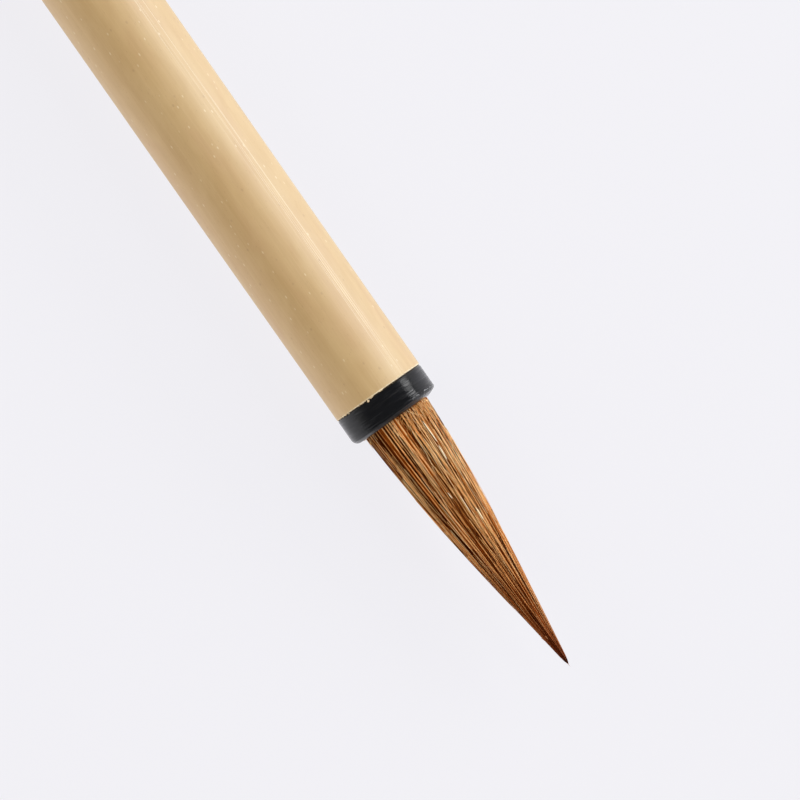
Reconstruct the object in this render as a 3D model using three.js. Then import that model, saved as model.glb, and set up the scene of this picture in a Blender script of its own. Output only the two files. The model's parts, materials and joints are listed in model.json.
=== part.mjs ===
// A Chinese calligraphy brush lying on its side, in millimetres, +Z up.
//
// The brush's axis runs along X, with the tip of the hair at +X. The origin is under the middle
// of its length, on the surface that it lies on. Every piece is turned about the brush's axis,
// and u is the distance along that axis from the tail end of the handle.
//
// Inside the ferrule the hair is tied with thread and set in a puck of rosin. The hair is in
// layers: a core of long hair, two rings of short padding hair around its root, and a cover of
// long hair over them all. The two long layers are divided just past the padding, where the
// tuft begins to bend.

import * as THREE from "three";

// Handle and ferrule.
const BRUSH_LENGTH = 250;
const HANDLE_RADIUS = 5.52;
const HANDLE_FRONT_RADIUS = 5.44;
const HANDLE_FRONT_TAPER = 55;
const TUBE_BORE_RADIUS = 2.9;
const TUBE_RIM_CHAMFER = 0.18;
const RING_RADIUS = 5.4;
const RING_HEIGHT = 3.25;
const LIP_ROUNDING = 0.75;
const SLEEVE_RADIUS = 4.55;
const SLEEVE_DEPTH = 10.5;
const SOCKET_RADIUS = 4.12;
const SOCKET_FLOOR = 1.2;

// Tail cap.
const CAP_HEIGHT = 6;
const CAP_RADIUS = 5.3;
const CAP_ROUNDING = 0.9;
const SPIGOT_RADIUS = 2.8;
const SPIGOT_DEPTH = 9;
const LOOP_HOLE_RADIUS = 1.1;
const LOOP_HOLE_DEPTH = 8;

// Hair, and what holds it in the socket.
const TUFT_LENGTH = 32.45;
const TUFT_RADIUS = 4.02;
const COVER_THICKNESS = 0.7;
const COVER_POINT = 3;
const CORE_RADIUS = 2.05;
const BELLY_LENGTH = 10.35;
const WAIST_LENGTH = 6.35;
const WAIST_RADIUS = 2.7;
const WAIST_END_RADIUS = 2.35;
const BEND_FROM_RING = 14.85;
const ROSIN_THICKNESS = 1.2;
const THREAD_FROM_ROSIN = 1.2;
const THREAD_WIDTH = 1.8;
const THREAD_THICKNESS = 0.25;

// Gaps between neighbours, and how finely round pieces are divided.
const FIT_GAP = 0.1;
const LAYER_GAP = 0.06;
const SIDES = 36;
const ROUND_STEPS = 4;
const HAIR_STEP = 2.4;

// Places along the axis.
const RING_FRONT = BRUSH_LENGTH - TUFT_LENGTH;
const RING_BACK = RING_FRONT - RING_HEIGHT;
const SLEEVE_BACK = RING_BACK - SLEEVE_DEPTH;
const SOCKET_BACK = SLEEVE_BACK + SOCKET_FLOOR;
const ROSIN_BACK = SOCKET_BACK + FIT_GAP;
const ROSIN_FRONT = ROSIN_BACK + ROSIN_THICKNESS;
const HAIR_BACK = ROSIN_FRONT + FIT_GAP;
const THREAD_BACK = HAIR_BACK + THREAD_FROM_ROSIN;
const THREAD_FRONT = THREAD_BACK + THREAD_WIDTH;
const BEND = RING_FRONT + BEND_FROM_RING;

// The handle lies on the middle of one of its flat sides.
const AXIS_HEIGHT = HANDLE_RADIUS * Math.cos(Math.PI / SIDES);

const bamboo = new THREE.MeshStandardMaterial({ color: 0xcdae78, roughness: 0.38, metalness: 0 });
const blackHorn = new THREE.MeshStandardMaterial({ color: 0x15171b, roughness: 0.2, metalness: 0 });
const coverHair = new THREE.MeshStandardMaterial({ color: 0xa8703a, roughness: 0.5, metalness: 0 });
const coreHair = new THREE.MeshStandardMaterial({ color: 0x6b3216, roughness: 0.55, metalness: 0 });
const padding = new THREE.MeshStandardMaterial({ color: 0x8c6a44, roughness: 0.7, metalness: 0 });
const thread = new THREE.MeshStandardMaterial({ color: 0xd8cdb4, roughness: 0.8, metalness: 0 });
const rosin = new THREE.MeshStandardMaterial({ color: 0x7a3f10, roughness: 0.25, metalness: 0 });

const brush = new THREE.Group();
brush.rotation.z = -Math.PI / 2;
brush.position.set(-BRUSH_LENGTH / 2, 0, AXIS_HEIGHT);

// Turns an outline of [u, radius] points about the brush's axis. An outline goes from the back to
// the front along its outer side, then back along its inner side, or it starts and ends on the
// axis. Half a side of turn puts a flat side underneath.
function addTurned(name, material, outline) {
  const points = outline.map(([u, radius]) => new THREE.Vector2(radius, u));
  const geometry = new THREE.LatheGeometry(points, SIDES, Math.PI / SIDES);
  const mesh = new THREE.Mesh(geometry, material);
  mesh.name = name;
  brush.add(mesh);
}

// The outline of a ring: its outer side from back to front, its inner side from front to back,
// and its first point again to close it.
function ringOutline(outerSide, innerSide) {
  return [...outerSide, ...innerSide, outerSide[0]];
}

// Quarter round from a straight side to a flat end, as [u, radius] points. The end faces the
// front when facing is 1, and the back when it is -1.
function roundedEdge(endAt, sideRadius, rounding, facing) {
  const points = [];
  for (let i = 0; i <= ROUND_STEPS; i += 1) {
    const turn = ((i / ROUND_STEPS) * Math.PI) / 2;
    const u = endAt - facing * rounding * (1 - Math.sin(turn));
    points.push([u, sideRadius - rounding * (1 - Math.cos(turn))]);
  }
  return points;
}

// Outside radius of the hair: straight in the socket, and in front of the ring a shape that rounds
// over into a nearly straight cone and ends in a fine point.
function hairRadius(u) {
  const along = Math.min((BRUSH_LENGTH - u) / TUFT_LENGTH, 1);
  const cone = 1.247 * along - 0.247 * along ** 3.75;
  const point = 0.04 * (1 - Math.exp(-along / 0.007)) * (1 - along);
  return TUFT_RADIUS * (cone + point);
}

// Inside radius of the cover, which gets thinner as the tuft does.
function coverBoreRadius(u) {
  return hairRadius(u) * (1 - COVER_THICKNESS / TUFT_RADIUS);
}

// A line of [u, radius] points at even steps from one end to the other.
function line(from, to, radiusAt) {
  const steps = Math.max(Math.round(Math.abs(to - from) / HAIR_STEP), 1);
  return Array.from({ length: steps + 1 }, (_, i) => {
    const u = from + ((to - from) * i) / steps;
    return [u, radiusAt(u)];
  });
}

// The bamboo tube: bored right through, opened out at the front for the ferrule's sleeve, and
// scraped down a little towards the ring.
function addHandleShaft() {
  const back = CAP_HEIGHT + FIT_GAP;
  const front = RING_BACK - FIT_GAP;
  const counterboreRadius = SLEEVE_RADIUS + FIT_GAP;
  const counterboreBack = SLEEVE_BACK - FIT_GAP;
  const outerSide = [
    [back, HANDLE_RADIUS - TUBE_RIM_CHAMFER],
    [back + TUBE_RIM_CHAMFER, HANDLE_RADIUS],
    [front - HANDLE_FRONT_TAPER, HANDLE_RADIUS],
    [front - TUBE_RIM_CHAMFER, HANDLE_FRONT_RADIUS],
    [front, HANDLE_FRONT_RADIUS - TUBE_RIM_CHAMFER],
  ];
  const innerSide = [
    [front, counterboreRadius],
    [counterboreBack, counterboreRadius],
    [counterboreBack, TUBE_BORE_RADIUS],
    [back, TUBE_BORE_RADIUS],
  ];
  addTurned("handle_shaft", bamboo, ringOutline(outerSide, innerSide));
}

// The ferrule: a ring as wide as the handle, a sleeve behind it that fits in the tube, and a
// blind socket for the root of the hair.
function addFerrule() {
  addTurned("ferrule", blackHorn, [
    [SLEEVE_BACK, 0],
    [SLEEVE_BACK, SLEEVE_RADIUS],
    [RING_BACK, SLEEVE_RADIUS],
    [RING_BACK, RING_RADIUS],
    ...roundedEdge(RING_FRONT, RING_RADIUS, LIP_ROUNDING, 1),
    [RING_FRONT, SOCKET_RADIUS],
    [SOCKET_BACK, SOCKET_RADIUS],
    [SOCKET_BACK, 0],
  ]);
}

// The tail cap: a round-edged plug in the back of the tube, with a small blind hole in its end
// where a hanging loop is glued.
function addTailCap() {
  const spigotFront = CAP_HEIGHT + SPIGOT_DEPTH;
  addTurned("tail_cap", blackHorn, [
    [LOOP_HOLE_DEPTH, 0],
    [LOOP_HOLE_DEPTH, LOOP_HOLE_RADIUS],
    [0, LOOP_HOLE_RADIUS],
    ...roundedEdge(0, CAP_RADIUS, CAP_ROUNDING, -1).reverse(),
    [CAP_HEIGHT, CAP_RADIUS],
    [CAP_HEIGHT, SPIGOT_RADIUS],
    [spigotFront, SPIGOT_RADIUS],
    [spigotFront, 0],
  ]);
}

// The puck of rosin that the ends of the hair are set in.
function addRosinSeal() {
  const radius = SOCKET_RADIUS - FIT_GAP;
  addTurned("rosin_seal", rosin, [
    [ROSIN_BACK, 0],
    [ROSIN_BACK, radius],
    [ROSIN_FRONT, radius],
    [ROSIN_FRONT, 0],
  ]);
}

// The thread wound around the root of the hair, in the waist that it pulls into the cover.
function addBindingThread() {
  const outerSide = line(THREAD_BACK, THREAD_FRONT, () => TUFT_RADIUS);
  const innerSide = line(THREAD_FRONT, THREAD_BACK, () => TUFT_RADIUS - THREAD_THICKNESS);
  addTurned("binding_thread", thread, ringOutline(outerSide, innerSide));
}

// The cover's root, from the rosin to the bend, with the thread's waist in it.
function addCoverHairRoot() {
  const waist = TUFT_RADIUS - THREAD_THICKNESS - LAYER_GAP;
  const outerSide = [
    [HAIR_BACK, TUFT_RADIUS],
    [THREAD_BACK - LAYER_GAP, TUFT_RADIUS],
    [THREAD_BACK - LAYER_GAP, waist],
    [THREAD_FRONT + LAYER_GAP, waist],
    [THREAD_FRONT + LAYER_GAP, TUFT_RADIUS],
    ...line(RING_FRONT, BEND - LAYER_GAP, hairRadius),
  ];
  const innerSide = [
    ...line(BEND - LAYER_GAP, RING_FRONT, coverBoreRadius),
    [HAIR_BACK, coverBoreRadius(RING_FRONT)],
  ];
  addTurned("cover_hair_root", coverHair, ringOutline(outerSide, innerSide));
}

// The cover's free end: hollow for the core, and solid over its last few millimetres.
function addCoverHairTip() {
  const back = BEND + LAYER_GAP;
  const front = BRUSH_LENGTH - COVER_POINT;
  const tail = line(back, BRUSH_LENGTH - HAIR_STEP, hairRadius);
  const point = line(BRUSH_LENGTH - HAIR_STEP / 2, BRUSH_LENGTH, hairRadius);
  const bore = line(front - HAIR_STEP, back, coverBoreRadius);
  addTurned("cover_hair_tip", coverHair, [[front, 0], ...bore, ...tail, ...point]);
}

// The core's root, a straight bundle that the padding is wrapped around.
function addCoreHairRoot() {
  addTurned("core_hair_root", coreHair, [
    [HAIR_BACK, 0],
    [HAIR_BACK, CORE_RADIUS],
    [BEND - LAYER_GAP, CORE_RADIUS],
    [BEND - LAYER_GAP, 0],
  ]);
}

// The core's free end, which fills the hollow of the cover.
function addCoreHairTip() {
  const back = BEND + LAYER_GAP;
  const front = BRUSH_LENGTH - COVER_POINT - HAIR_STEP;
  const outerSide = line(back, front, (u) => coverBoreRadius(u) - LAYER_GAP);
  addTurned("core_hair_tip", coreHair, [[back, 0], ...outerSide, [front, 0]]);
}

// The longer ring of padding, which gives the tuft its belly. It lies over the shorter ring.
function addBellyHair() {
  const front = RING_FRONT + BELLY_LENGTH;
  const outerSide = [
    [HAIR_BACK, coverBoreRadius(RING_FRONT) - LAYER_GAP],
    ...line(RING_FRONT, front, (u) => coverBoreRadius(u) - LAYER_GAP),
  ];
  const innerSide = [
    [front, CORE_RADIUS + LAYER_GAP],
    [RING_FRONT + WAIST_LENGTH, WAIST_END_RADIUS + LAYER_GAP],
    [RING_FRONT, WAIST_RADIUS + LAYER_GAP],
    [HAIR_BACK, WAIST_RADIUS + LAYER_GAP],
  ];
  addTurned("belly_hair", padding, ringOutline(outerSide, innerSide));
}

// The shorter ring of padding, around the core's root.
function addWaistHair() {
  const front = RING_FRONT + WAIST_LENGTH;
  const outerSide = [
    [HAIR_BACK, WAIST_RADIUS],
    [RING_FRONT, WAIST_RADIUS],
    [front, WAIST_END_RADIUS],
  ];
  const innerSide = line(front, HAIR_BACK, () => CORE_RADIUS + LAYER_GAP);
  addTurned("waist_hair", padding, ringOutline(outerSide, innerSide));
}

addHandleShaft();
addFerrule();
addTailCap();
addRosinSeal();
addBindingThread();
addCoverHairRoot();
addCoverHairTip();
addCoreHairRoot();
addCoreHairTip();
addBellyHair();
addWaistHair();

export default brush;
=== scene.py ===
import json
import math

import bpy
import numpy as np
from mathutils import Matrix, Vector


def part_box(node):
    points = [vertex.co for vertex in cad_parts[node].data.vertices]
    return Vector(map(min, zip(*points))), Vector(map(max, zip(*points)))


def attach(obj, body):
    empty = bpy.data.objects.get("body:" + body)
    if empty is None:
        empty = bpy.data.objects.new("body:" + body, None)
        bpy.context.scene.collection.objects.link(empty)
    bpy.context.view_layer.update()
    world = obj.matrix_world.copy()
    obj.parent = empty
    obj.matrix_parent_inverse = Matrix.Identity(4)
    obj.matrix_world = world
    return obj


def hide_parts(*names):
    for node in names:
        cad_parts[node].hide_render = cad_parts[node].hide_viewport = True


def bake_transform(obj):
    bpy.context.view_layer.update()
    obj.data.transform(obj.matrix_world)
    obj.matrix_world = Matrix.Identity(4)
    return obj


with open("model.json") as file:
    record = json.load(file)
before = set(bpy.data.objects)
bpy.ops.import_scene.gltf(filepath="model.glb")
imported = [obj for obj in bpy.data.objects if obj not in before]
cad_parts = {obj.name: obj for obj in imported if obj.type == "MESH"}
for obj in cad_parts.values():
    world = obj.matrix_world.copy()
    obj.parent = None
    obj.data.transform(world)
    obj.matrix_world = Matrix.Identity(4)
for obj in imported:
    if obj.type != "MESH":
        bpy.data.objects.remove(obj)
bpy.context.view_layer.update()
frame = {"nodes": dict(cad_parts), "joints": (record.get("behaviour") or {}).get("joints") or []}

# A calligraphy brush with a bamboo handle, lying along X with the tip of its hair at +X.
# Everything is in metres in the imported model's frame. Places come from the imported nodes.

MM = 0.001
SEED = 11

# ---------------------------------------------------------------- places taken from the frame

shaft_low, shaft_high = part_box("handle_shaft")
ferrule_low, ferrule_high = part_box("ferrule")
cap_low, cap_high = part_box("tail_cap")
thread_low, thread_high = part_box("binding_thread")
root_low, root_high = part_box("cover_hair_root")
tip_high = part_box("cover_hair_tip")[1]
belly_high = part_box("belly_hair")[1]
waist_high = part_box("waist_hair")[1]

AXIS_Z = (shaft_low.z + shaft_high.z) / 2
SHAFT_RADIUS = shaft_high.y
RING_RADIUS = ferrule_high.y
CAP_RADIUS = cap_high.y
TUFT_RADIUS = root_high.y
SHAFT_BACK = shaft_low.x
SHAFT_FRONT = shaft_high.x
RING_FRONT = ferrule_high.x
SLEEVE_BACK = ferrule_low.x
HAIR_BACK = root_low.x
TIP = tip_high.x
TUFT_LENGTH = TIP - RING_FRONT
BEND = frame["joints"][0]["pos_m"][0]

# Fits and wall sizes that the boxes don't give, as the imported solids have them.
FIT_GAP = 0.1 * MM
RING_BACK = SHAFT_FRONT + FIT_GAP
SLEEVE_RADIUS = 4.55 * MM
SOCKET_RADIUS = 4.12 * MM
SOCKET_FLOOR = 1.2 * MM
BORE_RADIUS = 2.9 * MM
FRONT_RADIUS = 5.43 * MM
FRONT_TAPER = 55 * MM
CAP_HEIGHT = SHAFT_BACK - FIT_GAP - cap_low.x
SPIGOT_RADIUS = 2.8 * MM
LOOP_HOLE_RADIUS = 1.1 * MM
LOOP_HOLE_DEPTH = 8 * MM
COVER_SHARE = 0.7 / 4.02
CORE_RADIUS = 2.05 * MM
WAIST_RADIUS = 2.7 * MM
WAIST_END_RADIUS = 2.35 * MM
LAYER_GAP = 0.06 * MM

# The tuft's outline: how much it bulges beyond a cone, and how blunt its point is.
CONE_BULGE = 0.247
CONE_POWER = 3.75
POINT_WIDTH = 0.04
POINT_REACH = 0.007
# How far the binding thread draws the hair in.
PINCH_DEPTH = 0.31 * MM

# ---------------------------------------------------------------- camera, lights and floor

LENS = 150
SENSOR = 36
FRAME_WIDTH = 86.3 * MM
ROLL = math.radians(55)
VIEW_FROM_TIP = 33.8 * MM
VIEW_ASIDE = 1.45 * MM
NEAREST_SEEN = 0.01
FURTHEST_SEEN = 20

LIT_PLACE = Vector((0.06, 0, AXIS_Z))
WHITE = (1.0, 1.0, 1.0)
COOL_WHITE = (0.98, 1.0, 1.03)
WARM_WHITE = (1.0, 0.89, 0.77)
# Name, degrees aside and ahead, distance, size across and along, radiance, tint, mirrored.
SOFTBOXES = [
    ("key", 67, 0, 0.55, 0.18, 0.36, 7.4, WHITE, True),
    ("key_spread", 52, 0, 0.6, 0.5, 0.6, 2.1, COOL_WHITE, False),
    ("fill_tip", -42, 52, 0.6, 0.4, 0.4, 2.9, WARM_WHITE, False),
    ("fill_tail", -42, -52, 0.6, 0.4, 0.4, 2.9, WARM_WHITE, False),
]
# Grey of the surroundings from the horizon, 0, to straight above, where Z is 1.
SKY_GREYS = [(0.0, 0.88), (0.06, 0.84), (0.15, 0.54), (0.26, 0.31), (0.38, 0.19), (0.5, 0.13)]

FLOOR_REACH = 4.0
FLOOR_COLOUR = (0.09, 0.09, 0.092, 1)
FLOOR_GLOW = (0.958, 0.952, 1.0, 1)
FLOOR_GLOW_STRENGTH = 0.84


def add_camera():
    """Straight above the brush, turned so that the tip points down to the right."""
    data = bpy.data.cameras.new("camera")
    data.lens = LENS
    data.sensor_width = SENSOR
    data.clip_start = NEAREST_SEEN
    data.clip_end = FURTHEST_SEEN
    camera = bpy.data.objects.new("camera", data)
    camera.location = (TIP - VIEW_FROM_TIP, VIEW_ASIDE, AXIS_Z + FRAME_WIDTH * LENS / SENSOR)
    camera.rotation_euler = (0, 0, ROLL)
    bpy.context.scene.collection.objects.link(camera)
    bpy.context.scene.camera = camera


def add_softbox(name, aside, ahead, distance, across, along, radiance, tint, mirrored):
    """A soft rectangular light that faces the front half of the brush.

    It leans aside degrees from the vertical towards +Y, and ahead degrees towards the tip. One
    that isn't mirrored brightens the brush without showing in its gloss.
    """
    data = bpy.data.lights.new(name, "AREA")
    data.shape = "RECTANGLE"
    data.size = across
    data.size_y = along
    data.energy = radiance * math.pi * across * along
    data.color = tint
    light = bpy.data.objects.new(name, data)
    lean, turn = math.radians(aside), math.radians(ahead)
    direction = Vector((
        math.sin(turn),
        math.cos(turn) * math.sin(lean),
        math.cos(turn) * math.cos(lean),
    ))
    light.location = LIT_PLACE + direction * distance
    light.rotation_mode = "QUATERNION"
    light.rotation_quaternion = direction.to_track_quat("Z", "X" if ahead == 0 else "Y")
    light.visible_camera = False
    light.visible_glossy = mirrored
    bpy.context.scene.collection.objects.link(light)


def set_stops(ramp, stops):
    """Gives a colour ramp its (position, colour) stops."""
    elements = ramp.color_ramp.elements
    while len(elements) < len(stops):
        elements.new(0.5)
    for element, (at, colour) in zip(elements, stops):
        element.position = at
        element.color = (*colour, 1)


def add_world():
    """Pale at the horizon and dark overhead, as in a studio with a dark ceiling."""
    world = bpy.data.worlds.new("studio")
    world.use_nodes = True
    tree = world.node_tree
    background = tree.nodes["Background"]
    place = tree.nodes.new("ShaderNodeTexCoord")
    split = tree.nodes.new("ShaderNodeSeparateXYZ")
    ramp = tree.nodes.new("ShaderNodeValToRGB")
    tree.links.new(place.outputs["Generated"], split.inputs[0])
    tree.links.new(split.outputs["Z"], ramp.inputs["Fac"])
    tree.links.new(ramp.outputs["Color"], background.inputs["Color"])
    set_stops(ramp, [(at, (grey, grey, grey)) for at, grey in SKY_GREYS])
    bpy.context.scene.world = world


def add_floor():
    """A pale floor that gives off a part of its own light, so that it shows white all over."""
    size = FLOOR_REACH
    mesh = bpy.data.meshes.new("floor")
    corners = [(-size, -size, 0), (size, -size, 0), (size, size, 0), (-size, size, 0)]
    mesh.from_pydata(corners, [], [(0, 1, 2, 3)])
    floor = bpy.data.objects.new("floor", mesh)
    bpy.context.scene.collection.objects.link(floor)
    material = bpy.data.materials.new("pale_floor")
    material.use_nodes = True
    shader = material.node_tree.nodes["Principled BSDF"]
    shader.inputs["Base Color"].default_value = FLOOR_COLOUR
    shader.inputs["Roughness"].default_value = 0.9
    shader.inputs["Specular IOR Level"].default_value = 0.0
    shader.inputs["Emission Color"].default_value = FLOOR_GLOW
    shader.inputs["Emission Strength"].default_value = FLOOR_GLOW_STRENGTH
    mesh.materials.append(material)


# ---------------------------------------------------------------- shader helpers


class Shader:
    """A material whose nodes are made by short calls. A setting that is a socket is linked."""

    def __init__(self, name):
        self.material = bpy.data.materials.new(name)
        self.material.use_nodes = True
        self.tree = self.material.node_tree
        self.surface = self.tree.nodes["Principled BSDF"]

    def put(self, socket, value):
        """Links a socket to another, or gives it a value."""
        if isinstance(value, bpy.types.NodeSocket):
            self.tree.links.new(value, socket)
        elif isinstance(value, tuple) and socket.type == "RGBA":
            socket.default_value = (*value[:3], 1)
        else:
            socket.default_value = value

    def set(self, **settings):
        """Sets inputs of the surface shader, named with _ in place of each space."""
        for name, value in settings.items():
            self.put(self.surface.inputs[name.replace("_", " ")], value)

    def place(self, scale):
        """The point in the row frame, multiplied by scale along each axis."""
        coordinates = self.tree.nodes.new("ShaderNodeTexCoord")
        mapping = self.tree.nodes.new("ShaderNodeMapping")
        self.put(mapping.inputs["Vector"], coordinates.outputs["Object"])
        mapping.inputs["Scale"].default_value = scale
        return mapping.outputs["Vector"]

    def attribute(self, name):
        node = self.tree.nodes.new("ShaderNodeAttribute")
        node.attribute_name = name
        return node.outputs["Fac"]

    def combine(self, x, y, z):
        node = self.tree.nodes.new("ShaderNodeCombineXYZ")
        for socket, value in zip(node.inputs, (x, y, z)):
            self.put(socket, value)
        return node.outputs["Vector"]

    def split(self, vector):
        node = self.tree.nodes.new("ShaderNodeSeparateXYZ")
        self.put(node.inputs[0], vector)
        return node.outputs

    def noise(self, vector, detail=2.0, roughness=0.5, distortion=0.0):
        """Smooth noise from 0 to 1, about one feature long for each unit of the vector."""
        node = self.tree.nodes.new("ShaderNodeTexNoise")
        self.put(node.inputs["Vector"], vector)
        node.inputs["Scale"].default_value = 1.0
        node.inputs["Detail"].default_value = detail
        node.inputs["Roughness"].default_value = roughness
        node.inputs["Distortion"].default_value = distortion
        return node.outputs["Fac"]

    def cells(self, vector):
        """Distance to the nearest of scattered points, about one for each unit of the vector."""
        node = self.tree.nodes.new("ShaderNodeTexVoronoi")
        self.put(node.inputs["Vector"], vector)
        node.inputs["Scale"].default_value = 1.0
        return node.outputs["Distance"]

    def math(self, operation, a, b=0.0):
        node = self.tree.nodes.new("ShaderNodeMath")
        node.operation = operation
        self.put(node.inputs[0], a)
        self.put(node.inputs[1], b)
        return node.outputs[0]

    def remap(self, value, low, high, to_low=0.0, to_high=1.0):
        """Turns low to high smoothly into to_low to to_high, and stops at both ends."""
        node = self.tree.nodes.new("ShaderNodeMapRange")
        node.interpolation_type = "SMOOTHSTEP"
        self.put(node.inputs["Value"], value)
        node.inputs["From Min"].default_value = low
        node.inputs["From Max"].default_value = high
        node.inputs["To Min"].default_value = to_low
        node.inputs["To Max"].default_value = to_high
        return node.outputs["Result"]

    def ramp(self, value, stops):
        node = self.tree.nodes.new("ShaderNodeValToRGB")
        self.put(node.inputs["Fac"], value)
        set_stops(node, stops)
        return node.outputs["Color"]

    def mix(self, share, a, b, blend="MIX"):
        node = self.tree.nodes.new("ShaderNodeMix")
        node.data_type = "RGBA"
        node.blend_type = blend
        self.put(node.inputs[0], share)
        self.put(node.inputs[6], a)
        self.put(node.inputs[7], b)
        return node.outputs[2]

    def bump(self, height, distance, strength=1.0, under=None):
        node = self.tree.nodes.new("ShaderNodeBump")
        self.put(node.inputs["Height"], height)
        node.inputs["Distance"].default_value = distance
        node.inputs["Strength"].default_value = strength
        if under is not None:
            self.put(node.inputs["Normal"], under)
        return node.outputs["Normal"]


# ---------------------------------------------------------------- materials


def bamboo_skin():
    """Varnished bamboo: fibres along the handle, mottling, specks, and a few long scratches
    painted pale as highlight lines on the side towards +Y.
    """
    s = Shader("bamboo_skin")
    streak = s.noise(s.place((22, 1500, 1500)), 3.0, 0.6)
    fibre = s.noise(s.place((120, 7000, 7000)), 2.0, 0.6)
    mottle = s.noise(s.place((170, 420, 420)), 3.0, 0.6, 0.6)
    blush = s.noise(s.place((60, 230, 230)), 3.0, 0.55, 0.4)
    pores = s.cells(s.place((900, 5200, 5200)))
    specks = s.cells(s.place((520, 800, 800)))
    flecks = s.cells(s.place((500, 1300, 1300)))
    straw, gold = (0.615, 0.405, 0.164), (0.660, 0.455, 0.200)
    tone = s.ramp(mottle, [(0.36, straw), (0.64, gold)])
    # Each layer: where it shows, the values at which it starts and is full, its most, its colour.
    layers = [
        (streak, 0.4, 0.75, 0.22, (0.76, 0.54, 0.26)),
        (streak, 0.5, 0.2, 0.16, (0.52, 0.30, 0.11)),
        (fibre, 0.45, 0.75, 0.2, (0.80, 0.60, 0.33)),
        (blush, 0.48, 0.68, 0.20, (0.60, 0.34, 0.17)),
        (pores, 0.16, 0.05, 0.45, (0.42, 0.22, 0.09)),
        (specks, 0.13, 0.04, 0.35, (0.40, 0.20, 0.09)),
        (flecks, 0.12, 0.05, 0.6, (0.92, 0.80, 0.58)),
    ]
    for where, start, full, most, colour in layers:
        tone = s.mix(s.remap(where, start, full, 0, most), tone, colour)
    # Long pale lines on a band about 26 to 42 degrees over towards +Y, where the key light's
    # gloss falls: painted highlight lines, also bumped like shallow scratches in the varnish.
    x, y, z = s.split(s.place((1, 1, 1)))
    angle = s.math("ARCTAN2", y, s.math("SUBTRACT", z, AXIS_Z))
    around = s.combine(s.math("MULTIPLY", x, 22.0), s.math("MULTIPLY", angle, 84.0), 0.0)
    lines = s.remap(s.noise(around, 1.0), 0.57, 0.66)
    lit_band = s.math("MULTIPLY", s.remap(angle, 0.46, 0.54), s.remap(angle, 0.74, 0.66))
    scratch_and_glint = s.math("MULTIPLY", lines, lit_band)
    # The lines' pale colour is a painted highlight.
    painted_glint = (0.97, 0.88, 0.64)
    tone = s.mix(s.math("MULTIPLY", scratch_and_glint, 0.9), tone, painted_glint)
    grain = s.bump(streak, 0.012 * MM, 0.6)
    grain = s.bump(fibre, 0.006 * MM, 0.8, grain)
    grain = s.bump(scratch_and_glint, 0.006 * MM, 0.8, grain)
    s.set(Base_Color=tone, Roughness=s.remap(fibre, 0.3, 0.7, 0.52, 0.66), Normal=grain)
    s.set(IOR=1.5, Coat_Weight=1.0, Coat_IOR=2.2, Coat_Roughness=0.64)
    return s.material


def bamboo_cut():
    """The tube's cut ends: paler, with the dots of the fibre bundles."""
    s = Shader("bamboo_cut")
    dots = s.cells(s.place((800, 3600, 3600)))
    rings = s.noise(s.place((2000, 2500, 2500)), 2.0)
    tone = s.ramp(rings, [(0.3, (0.76, 0.60, 0.36)), (0.7, (0.98, 0.88, 0.66))])
    bundle = (0.33, 0.17, 0.07)
    tone = s.mix(s.remap(dots, 0.35, 0.15, 0, 0.55), tone, bundle)
    s.set(Base_Color=tone, Roughness=s.remap(rings, 0.3, 0.7, 0.55, 0.8))
    s.set(Normal=s.bump(dots, 0.02 * MM))
    return s.material


def black_horn():
    """Polished black with fine turning lines round it, and a paler grey line where its edge is
    worn: rubbed horn, and partly a painted highlight along the crease.
    """
    s = Shader("black_horn")
    turning = s.noise(s.place((5400, 170, 170)), 2.0, 0.6)
    scuffs = s.noise(s.place((3600, 1300, 1300)), 2.0, 0.65)
    cloud = s.noise(s.place((500, 500, 500)), 3.0)
    wear_and_glint = s.remap(s.attribute("wear_and_glint"), 0.25, 0.8)
    tone = s.ramp(cloud, [(0.35, (0.0035, 0.0038, 0.0048)), (0.7, (0.0070, 0.0078, 0.0105))])
    # Paler grey along the worn shoulder: rubbed horn, and partly a painted highlight along the
    # crease.
    worn_and_glint_grey = (0.26, 0.265, 0.28)
    tone = s.mix(wear_and_glint, tone, worn_and_glint_grey)
    normal = s.bump(turning, 0.18 * MM, 1.0)
    normal = s.bump(scuffs, 0.008 * MM, 0.7, normal)
    normal = s.bump(cloud, 0.03 * MM, 0.4, normal)
    polish = s.remap(turning, 0.42, 0.62, 0.07, 0.20)
    s.set(Base_Color=tone, Roughness=s.math("ADD", polish, s.math("MULTIPLY", wear_and_glint, 0.3)))
    s.set(IOR=1.45, Normal=normal)
    return s.material


PALEST_HAIR = (1.0, 0.75, 0.42)
HALFWAY_SHADE = (0.94, 0.88, 0.82)
NEAR_TIP_SHADE = (0.88, 0.76, 0.66)
HAIR_SHEEN = (1.0, 0.8, 0.55)


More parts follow.
